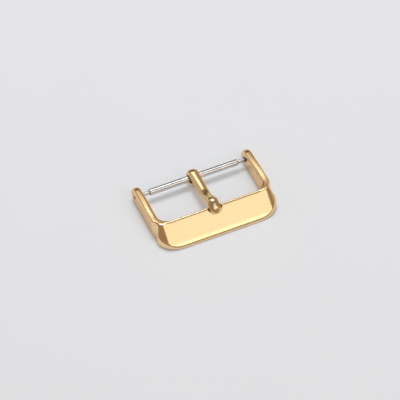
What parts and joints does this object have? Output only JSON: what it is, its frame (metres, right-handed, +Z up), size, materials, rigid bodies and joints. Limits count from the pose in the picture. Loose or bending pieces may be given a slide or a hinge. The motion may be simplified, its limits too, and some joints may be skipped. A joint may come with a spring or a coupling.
{
  "type": "tang buckle for a watch strap",
  "caption": "Gold-tone tang buckle for a watch strap: a U-shaped frame with a sloping front bar, a swinging tongue and a sprung bar between the arms.",
  "frame": {"origin": "under the middle of the frame, on the surface that the buckle lies on", "axes": "+X along the spring bar, +Y from the front bar to the spring bar, +Z up, away from the wrist"},
  "size_m": [0.0228, 0.0146, 0.0047],
  "materials": {
    "gold_plating": "polished yellow-gold plating",
    "steel": "bright drawn stainless steel"
  },
  "bodies": {
    "frame": {"buckle_frame": "gold_plating"},
    "tongue": {"tongue": "gold_plating"},
    "tube": {"spring_bar_tube": "steel", "spring_bar_spring": "steel"},
    "pin_left": {"spring_bar_pin_left": "steel"},
    "pin_right": {"spring_bar_pin_right": "steel"}
  },
  "joints": [
    {"name": "tongue_swing", "type": "hinge", "parent": "frame", "child": "tongue", "pos_m": [0, 0.00555, 0.00175], "axis": [-1, 0, 0], "range_deg": [0, 325]},
    {"name": "tube_spin", "type": "hinge", "parent": "frame", "child": "tube", "pos_m": [0, 0.00555, 0.00175], "axis": [1, 0, 0], "continuous": true},
    {"name": "pin_left_slide", "type": "slide", "parent": "frame", "child": "pin_left", "axis": [1, 0, 0], "range_m": [0, 0.00115], "stiffness_N_per_m": 400, "springref_m": -0.0005, "deforming": ["spring_bar_spring"]},
    {"name": "pin_right_slide", "type": "slide", "parent": "frame", "child": "pin_right", "axis": [-1, 0, 0], "range_m": [0, 0.00115], "stiffness_N_per_m": 400, "springref_m": -0.0005, "deforming": ["spring_bar_spring"]}
  ]
}
